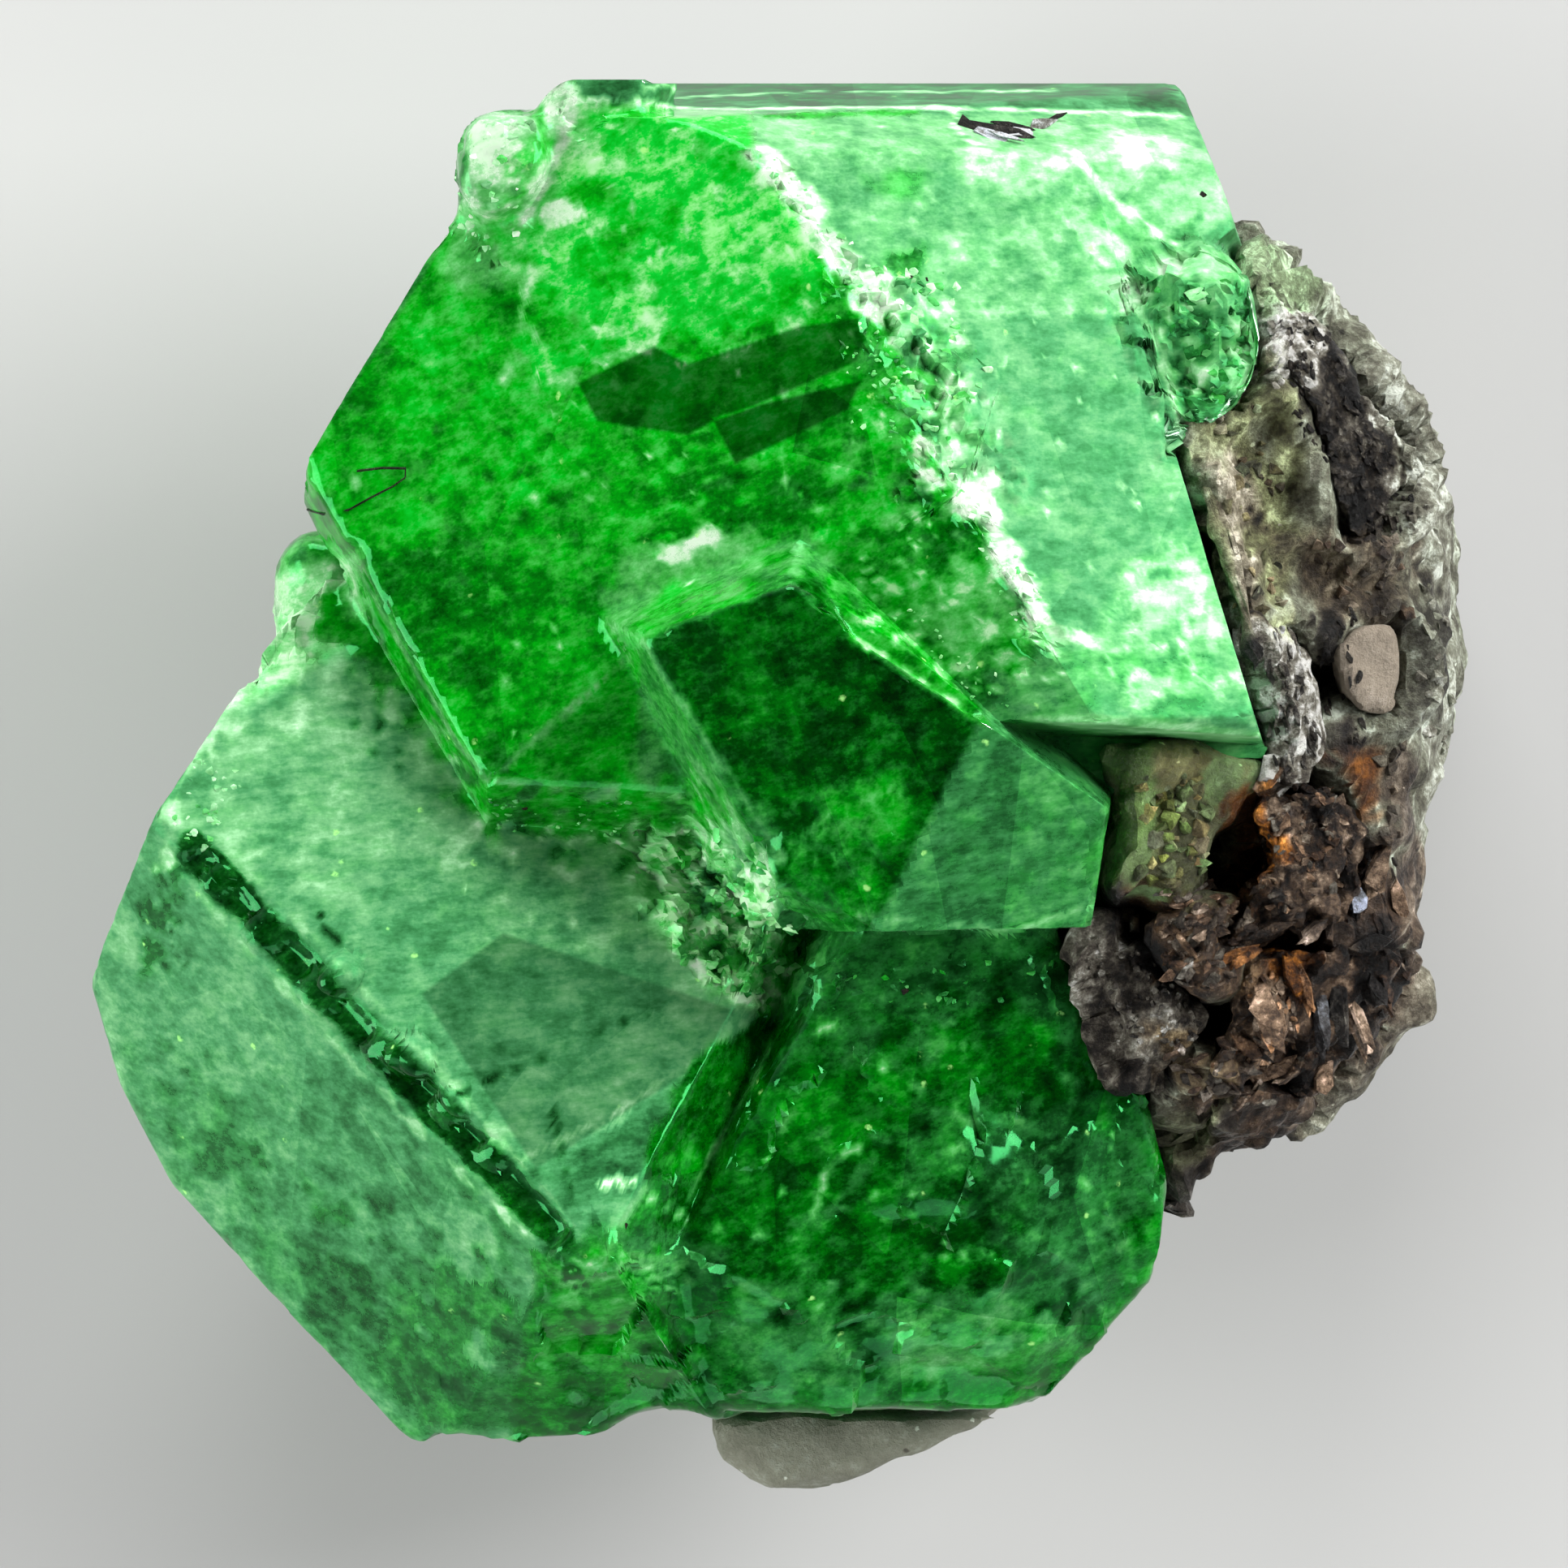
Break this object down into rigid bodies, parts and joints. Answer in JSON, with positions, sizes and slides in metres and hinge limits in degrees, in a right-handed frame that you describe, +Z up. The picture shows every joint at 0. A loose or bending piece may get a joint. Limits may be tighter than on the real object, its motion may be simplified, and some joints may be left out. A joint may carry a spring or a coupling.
{
  "type": "tsavorite in matrix",
  "caption": "Mineral specimen: clear green garnet crystals with flat faces, grown against a rough grey-green crust with graphite and mica; rests on its back.",
  "frame": {"origin": "on the resting surface, under the middle of the specimen's bounding box", "axes": "+Z up out of the display face, +Y toward the flat face that ends the upper garnet, +X toward the matrix crust"},
  "size_m": [0.0212, 0.0218, 0.013],
  "materials": {
    "garnet": "clear deep green crystal with glassy faces, some of them frosted",
    "gneiss": "rough granular grey-green stone",
    "quartz": "cloudy olive, broken glassy surface",
    "graphite": "dark grey with a metallic sheen",
    "mica": "bronze-brown cleavage plates with bright glints",
    "calcite": "dull pale beige"
  },
  "bodies": {
    "root": {"tsavorite_crystals": "garnet", "gneiss_crust": "gneiss", "quartz_grain": "quartz", "graphite_band": "graphite", "graphite_blade": "graphite", "graphite_chunk": "graphite", "graphite_foot": "graphite", "upper_mica_book": "mica", "lower_mica_book": "mica", "calcite_grain": "calcite", "calcite_wedge": "calcite"}
  },
  "joints": []
}
